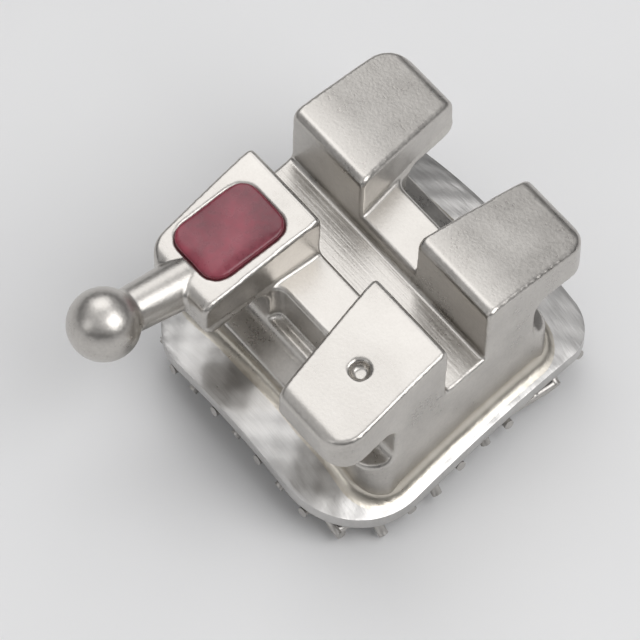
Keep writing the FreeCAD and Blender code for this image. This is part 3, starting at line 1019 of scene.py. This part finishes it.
@dataclass
class BrazeSeam(Piece):
    """Concave fillet of filler that wetted the foot and the pad."""

    half_x: float = 1.55
    half_y: float = 1.28
    corner: float = 0.32
    leg: float = 0.12
    height: float = 0.11
    bite: float = 0.03
    unevenness: float = 0.132
    wave_scale: float = 2.3
    rounds: int = 220
    arc_steps: int = 7

    def model(self) -> bpy.types.Object:
        """Sweep the fillet's section round the foot: a ring, with each of its sections put in place.

        Returns:
            The finished seam in metres.
        """
        loop = self.plan.rhomboid(self.half_x, self.half_y, self.corner, self.corner)
        loop = self.even(loop, self.rounds)
        points = []
        for i, here in enumerate(loop):
            ahead = loop[(i + 1) % len(loop)] - loop[i - 1]
            outward = Vector((ahead.y, -ahead.x, 0)).normalized()
            for out, up in self.section(1.0 + self.unevenness * noise.noise(here * self.wave_scale)):
                place = here + outward * out
                points.append(Vector((place.x, place.y, self.curve.height(place.x, place.y, up))))
        Bench.clear()
        bpy.ops.mesh.primitive_torus_add(major_segments=self.rounds, minor_segments=len(points) // self.rounds,
                                         generate_uvs=False)
        piece = bpy.context.object
        piece.name = self.name
        for vertex, place in zip(piece.data.vertices, points):
            vertex.co = place
        bpy.ops.object.mode_set(mode="EDIT")
        bpy.ops.mesh.select_all(action="SELECT")
        bpy.ops.mesh.normals_make_consistent(inside=False)
        bpy.ops.object.mode_set(mode="OBJECT")
        return Bench.settle(piece, math.radians(50))

    def section(self, swell: float) -> list[tuple[float, float]]:
        """Section of the fillet: two corners inside the foot, and the hollow arc between foot and pad.

        Args:
            swell: Its size at this place, as a share of the usual.

        Returns:
            Distance outwards from the foot and height above the pad of each point.
        """
        leg = self.leg * swell
        rise = self.height * swell
        spots = [(-self.bite, -self.bite * 0.5), (-self.bite, rise)]
        for k in range(self.arc_steps + 1):
            angle = math.pi / 2 * k / self.arc_steps
            spots.append((leg * (1 - math.cos(angle)), rise * (1 - math.sin(angle))))
        return spots

    @staticmethod
    def even(loop: Sequence[Vector], count: int) -> list[Vector]:
        """The same loop with its points evenly spaced.

        Args:
            loop: A closed loop.
            count: Points wanted.

        Returns:
            The new points.
        """
        closed = [*loop, loop[0]]
        lengths = [(b - a).length for a, b in zip(closed, closed[1:])]
        total = sum(lengths)
        points = []
        index = 0
        passed = 0.0
        for k in range(count):
            target = total * k / count
            while passed + lengths[index] < target:
                passed += lengths[index]
                index += 1
            share = (target - passed) / lengths[index]
            points.append(closed[index].lerp(closed[index + 1], share))
        return points


@dataclass
class IdentificationPaint(Piece):
    """Dab of lacquer in the recess of the hook wing."""

    body: Optional[BracketBody] = None
    proud: float = 0.02
    swell: float = 0.03
    ripple: float = 0.012
    ripple_scale: float = 3.1
    softness: int = 8
    voxel: float = 0.014

    def model(self) -> bpy.types.Object:
        """Draw the dab's outline, raise it, round its edge and let it swell like a drop.

        Returns:
            The finished dab in metres.
        """
        depth = self.body.mark_depth
        piece = Bench.prism(self.name, self.body.mark_loop(), Vector((0, 0, depth + self.proud)))
        Bench.modify(piece, "REMESH", mode="VOXEL", voxel_size=self.voxel)
        Bench.smooth(piece, self.softness)
        middle = self.body.wing_middle(1, self.body.mark_centre)
        for vertex in piece.data.vertices:
            across = (vertex.co.x - middle) / (self.body.mark_width / 2)
            along = vertex.co.y / (self.body.mark_length / 2)
            lift = max(0.0, 1 - across ** 4) * max(0.0, 1 - along ** 4)
            share = (vertex.co.z + depth) / (depth + self.proud)
            wave = noise.noise(vertex.co * self.ripple_scale) * self.ripple
            vertex.co.z += (self.swell * lift ** 0.5 + wave) * share
        piece.data.transform(self.body.face_matrix(self.body.mark_centre))
        return Bench.settle(piece)


@dataclass(frozen=True)
class Softbox:
    """A square soft lamp: its direction round the part, distance, size and brightness."""

    name: str
    azimuth: float
    elevation: float
    distance: float
    size: float
    brightness: float


@dataclass
class Studio:
    """Plain pale floor, soft lamps and the camera of the reference view."""

    azimuth: float = 232.0
    elevation: float = 56.0
    lens: float = 300.0
    frame_width: float = 6.3
    floor_half: float = 400.0
    lamps: tuple[Softbox, ...] = (
        Softbox("key", 292, 50, 60, 44, 2.6),
        Softbox("back", 66, 56, 60, 46, 1.25),
        Softbox("fill", 170, 30, 70, 30, 1.0),
    )
    surround: tuple[tuple[float, float], ...] = (
        (0.0, 0.84), (0.08, 0.78), (0.16, 0.05), (0.35, 0.09), (0.8, 0.62))
    floor_tones: tuple[Colour, Colour] = ((0.80, 0.80, 0.805), (0.83, 0.83, 0.83))

    @staticmethod
    def backwards(azimuth: float, elevation: float) -> Vector:
        """Unit vector from the part towards a place round it, both angles in degrees."""
        a = math.radians(azimuth)
        e = math.radians(elevation)
        return Vector((math.sin(a) * math.cos(e), -math.cos(a) * math.cos(e), math.sin(e)))

    def add_floor(self, height: float) -> None:
        """Lay the floor under the part.

        Args:
            height: The floor's height in metres.
        """
        Bench.clear()
        bpy.ops.mesh.primitive_plane_add(size=2 * self.floor_half * MM, location=(0, 0, height))
        floor = bpy.context.object
        floor.name = "floor"
        bpy.ops.object.transform_apply()
        finish = Finish("floor_card")
        tone = finish.blend(finish.noise(0.4, 3.0), *self.floor_tones)
        finish.link(tone, finish.shader.inputs["Base Color"])
        finish.shader.inputs["Roughness"].default_value = 0.8
        floor.data.materials.append(finish.material)
        floor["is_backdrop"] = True

    def add_lamp(self, box: Softbox, target: Vector) -> None:
        """Hang one soft lamp.

        Args:
            box: The lamp.
            target: What it points at, in metres.
        """
        back = self.backwards(box.azimuth, box.elevation)
        light = bpy.data.lights.new(box.name, "AREA")
        light.shape = "SQUARE"
        light.size = box.size * MM
        light.energy = box.brightness * math.pi * light.size ** 2
        lamp = bpy.data.objects.new(box.name, light)
        bpy.context.scene.collection.objects.link(lamp)
        lamp.location = target + back * box.distance * MM
        lamp.rotation_euler = back.to_track_quat("Z", "Y").to_euler()

    def add_world(self) -> None:
        """A low pale backdrop behind the floor, a dim room above it and a pale ceiling overhead."""
        world = bpy.data.worlds.new("surround")
        world.use_nodes = True
        bpy.context.scene.world = world
        tree = world.node_tree
        background = tree.nodes["Background"]
        place = tree.nodes.new("ShaderNodeTexCoord")
        split = tree.nodes.new("ShaderNodeSeparateXYZ")
        tree.links.new(place.outputs["Generated"], split.inputs[0])
        ramp = tree.nodes.new("ShaderNodeValToRGB")
        for spot, _ in self.surround[1:-1]:
            ramp.color_ramp.elements.new(spot)
        for element, (spot, grey) in zip(ramp.color_ramp.elements, self.surround):
            element.position = spot
            element.color = (grey, grey, grey * 1.01, 1.0)
        tree.links.new(split.outputs["Z"], ramp.inputs[0])
        tree.links.new(ramp.outputs["Color"], background.inputs["Color"])
        background.inputs["Strength"].default_value = 1.0

    def add_camera(self, target: Vector) -> None:
        """Set the camera at the reference view's angle.

        Args:
            target: The point it looks at, in metres.
        """
        data = bpy.data.cameras.new("camera")
        data.lens = self.lens
        data.clip_start = 0.001
        data.clip_end = 10.0
        distance = self.frame_width * MM * data.lens / data.sensor_width
        back = self.backwards(self.azimuth, self.elevation)
        camera = bpy.data.objects.new("camera", data)
        bpy.context.scene.collection.objects.link(camera)
        camera.location = target + back * distance
        camera.rotation_euler = back.to_track_quat("Z", "Y").to_euler()
        bpy.context.scene.camera = camera

    def build(self, low: Vector, high: Vector) -> None:
        """Build the floor, the lamps, the surround and the camera round the part's box.

        Args:
            low: The box's lowest corner.
            high: The box's highest corner.
        """
        middle = (low + high) / 2
        self.add_floor(low.z)
        self.add_world()
        for box in self.lamps:
            self.add_lamp(box, middle)
        self.add_camera(middle)


def main() -> None:
    """Build every piece in order, then the studio, and report each piece."""
    logging.basicConfig(level=logging.INFO, format="%(name)s %(message)s")
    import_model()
    body = BracketBody("bracket_body_finish", "bracket_body", "moulded_steel", MOULDED)
    pieces: list[Piece] = [
        body,
        BasePad("base_pad_finish", "base_pad", "foil_steel", FOIL),
        BondingMesh("bonding_mesh_finish", "bonding_mesh", "mesh_wire", WIRE),
        BrazeSeam("braze_seam_finish", "braze_seam", "braze_filler", BRAZE),
        IdentificationPaint("identification_paint_finish", "identification_paint", "red_paint", PaintFinish(),
                            body=body),
    ]
    for piece in pieces:
        piece.place()
    low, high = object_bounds()
    Studio().build(Vector(low), Vector(high))
    bpy.context.scene.view_settings.view_transform = "Standard"


if __name__ == "__main__":
    main()
